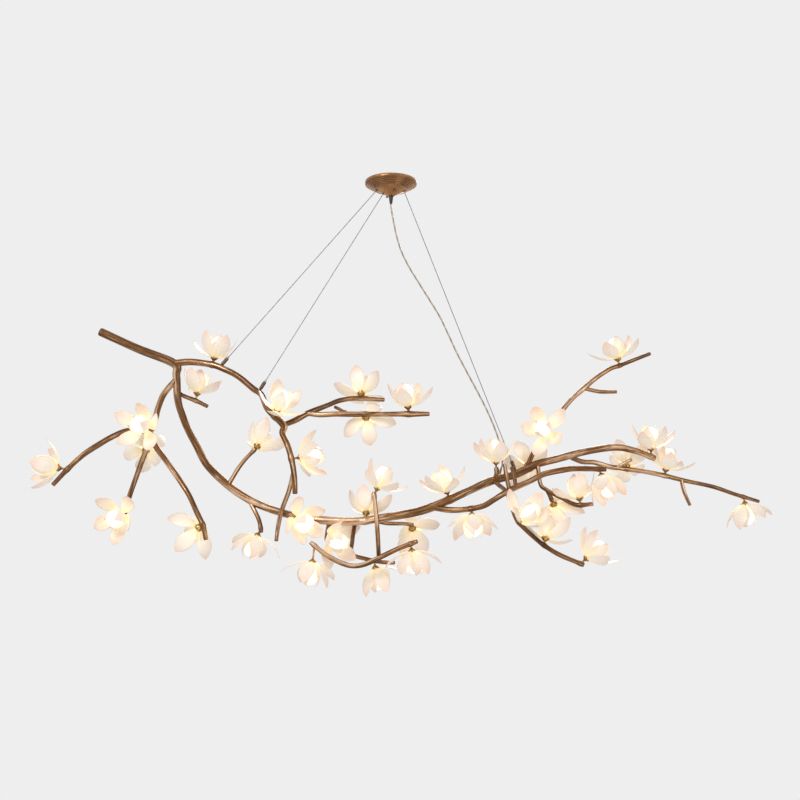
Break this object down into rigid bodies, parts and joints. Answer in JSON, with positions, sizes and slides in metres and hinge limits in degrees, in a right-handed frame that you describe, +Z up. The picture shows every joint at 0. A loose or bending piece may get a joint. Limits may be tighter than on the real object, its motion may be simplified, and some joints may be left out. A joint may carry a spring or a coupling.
{
  "type": "branch chandelier",
  "caption": "Suspended chandelier: a hammered bronze bough with side twigs and lit magnolia blossoms, hung from a small ceiling canopy on steel wires with adjustable grips.",
  "frame": {"origin": "middle of the canopy's upper face and of the ceiling bracket's top, where the part meets the ceiling", "axes": "+Z up to the ceiling, +X to the right in the front view along the bough, +Y away from the front view"},
  "size_m": [1.8583, 0.3636, 1.0656],
  "materials": {
    "bronze": "antique bronze, hammered and brushed",
    "bracket_steel": "zinc plated",
    "wire_steel": "stranded steel wire",
    "white_plastic": "moulded",
    "black_plastic": "moulded",
    "cord_sheath": "translucent sheath over the conductors",
    "calyx_brass": "satin",
    "led": "LED board",
    "lamp_glass": "frosted, lit from inside",
    "petal": "thin unglazed porcelain, translucent, with peach tips"
  },
  "bodies": {
    "canopy": {"canopy_shell": "bronze", "ceiling_bracket": "bracket_steel", "suspension_bar": "bracket_steel", "wire_sockets": "bracket_steel", "canopy_screws": "bronze", "led_driver": "white_plastic", "terminal_block": "white_plastic", "cord_gland": "black_plastic"},
    "hung_frame": {"wire_left_outer": "wire_steel", "wire_left_inner": "wire_steel", "wire_right": "wire_steel", "wire_grips": "bronze", "power_cord": "cord_sheath", "cord_inlet": "calyx_brass", "trunk": "bronze", "top_branch": "bronze", "upper_fork": "bronze", "lower_fork": "bronze", "fan_left": "bronze", "fan_middle": "bronze", "fan_right": "bronze", "crown_twig": "bronze", "inner_twig": "bronze", "drop_twig": "bronze", "cross_twig": "bronze", "ring_twig": "bronze", "rear_bow": "bronze", "lower_bow": "bronze", "post_twig": "bronze", "rear_twig": "bronze", "front_branch": "bronze", "ladder": "bronze", "low_right": "bronze", "mid_twig": "bronze", "upper_right": "bronze", "rear_branch": "bronze", "lamp_holders": "calyx_brass", "led_modules": "led", "lamp_covers": "lamp_glass", "petals_fan_left": "petal", "petals_fan_middle": "petal", "petals_fan_right": "petal", "petals_top": "petal", "petals_hanging": "petal", "petals_drop": "petal", "petals_fork": "petal", "petals_post": "petal", "petals_ring": "petal", "petals_bow": "petal", "petals_trunk": "petal", "petals_front": "petal", "petals_upper_right": "petal", "petals_low_right": "petal", "petals_mid": "petal", "petals_rear": "petal"},
    "release_left_outer": {"sleeve_left_outer": "wire_steel"},
    "release_left_inner": {"sleeve_left_inner": "wire_steel"},
    "release_right": {"sleeve_right": "wire_steel"}
  },
  "joints": [
    {"name": "sway", "type": "hinge", "parent": "canopy", "child": "hung_frame", "pos_m": [0, 0, -0.012], "axis": [1, 0, 0], "range_deg": [-4, 4], "deforming": ["power_cord"]},
    {"name": "press_left_outer", "type": "slide", "parent": "hung_frame", "child": "release_left_outer", "axis": [-0.643, -0.0239, -0.7655], "range_m": [0, 0.002], "stiffness_N_per_m": 400, "springref_m": -0.005},
    {"name": "press_left_inner", "type": "slide", "parent": "hung_frame", "child": "release_left_inner", "axis": [-0.5023, -0.0722, -0.8617], "range_m": [0, 0.002], "stiffness_N_per_m": 400, "springref_m": -0.005},
    {"name": "press_right", "type": "slide", "parent": "hung_frame", "child": "release_right", "axis": [0.361, 0.0375, -0.9318], "range_m": [0, 0.002], "stiffness_N_per_m": 400, "springref_m": -0.005}
  ]
}
